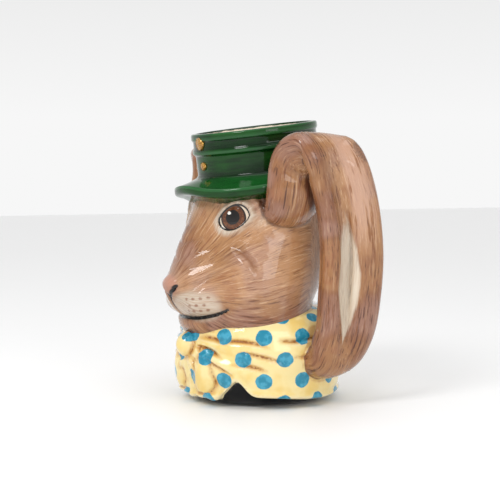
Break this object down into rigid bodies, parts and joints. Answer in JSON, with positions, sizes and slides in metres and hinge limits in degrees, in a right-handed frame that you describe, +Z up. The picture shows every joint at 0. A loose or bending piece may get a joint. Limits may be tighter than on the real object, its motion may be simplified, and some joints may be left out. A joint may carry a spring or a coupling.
{
  "type": "toby jug",
  "caption": "Hollow glazed toby jug shaped as a rabbit's head in a peaked cap and spotted neckerchief, with a lop ear as its handle.",
  "frame": {"origin": "middle of the foot's flat underside, on the surface the jug stands on", "axes": "+Z up through the mouth of the jug; the rabbit faces -Y; the ear handle is on the +X side, swept a little back"},
  "size_m": [0.1304, 0.1053, 0.1538],
  "materials": {
    "glazed_earthenware": "clear gloss glaze over painted underglaze colours"
  },
  "bodies": {
    "root": {"jug": "glazed_earthenware"}
  },
  "joints": []
}
